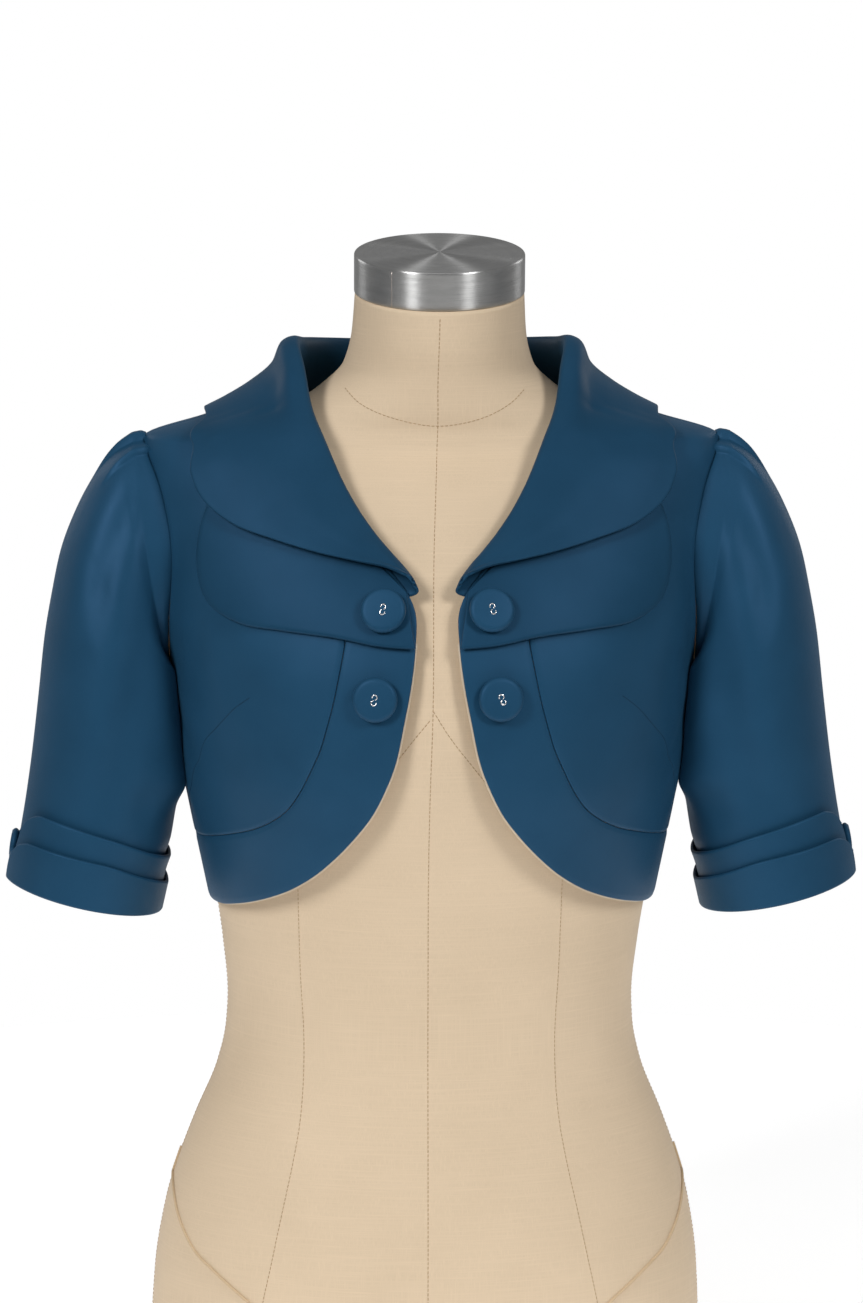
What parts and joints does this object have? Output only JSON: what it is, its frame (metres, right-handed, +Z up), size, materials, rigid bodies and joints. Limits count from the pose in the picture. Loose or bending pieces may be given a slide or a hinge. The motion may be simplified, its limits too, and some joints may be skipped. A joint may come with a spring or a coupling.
{
  "type": "cropped jacket on a limbless dress form",
  "caption": "Short-sleeved cropped jacket with a rounded shawl collar, a second lapel beneath it, a curved front band and turned-back cuffs, worn by a limbless dress form.",
  "frame": {"origin": "middle of the dress form's flat underside", "axes": "+Z up, the front faces -Y, the wearer's left is +X"},
  "size_m": [0.5444, 0.2532, 0.7678],
  "materials": {
    "jacket_cloth": "smooth teal stretch satin, matt side out, with a soft sheen",
    "lining": "plain cream lining cloth",
    "button_cloth": "jacket cloth stretched over a domed button",
    "form_linen": "beige linen stretched over the form",
    "cap_metal": "brushed steel, round on the top and along on the side"
  },
  "bodies": {
    "root": {"dress_form": "form_linen", "neck_cap": "cap_metal", "back": "jacket_cloth", "hem_band_back": "jacket_cloth", "front_panel_left": "jacket_cloth", "front_panel_right": "jacket_cloth", "front_band_left": "jacket_cloth", "front_band_right": "jacket_cloth", "lining_edge_left": "lining", "lining_edge_right": "lining", "lower_lapel_left": "jacket_cloth", "lower_lapel_right": "jacket_cloth", "collar": "jacket_cloth", "sleeve_left": "jacket_cloth", "sleeve_right": "jacket_cloth", "cuff_upper_left": "jacket_cloth", "cuff_upper_right": "jacket_cloth", "cuff_lower_left": "jacket_cloth", "cuff_lower_right": "jacket_cloth", "button_top_left": "button_cloth", "button_top_right": "button_cloth", "button_second_left": "button_cloth", "button_second_right": "button_cloth", "cuff_button_left": "button_cloth", "cuff_button_right": "button_cloth"}
  },
  "joints": []
}
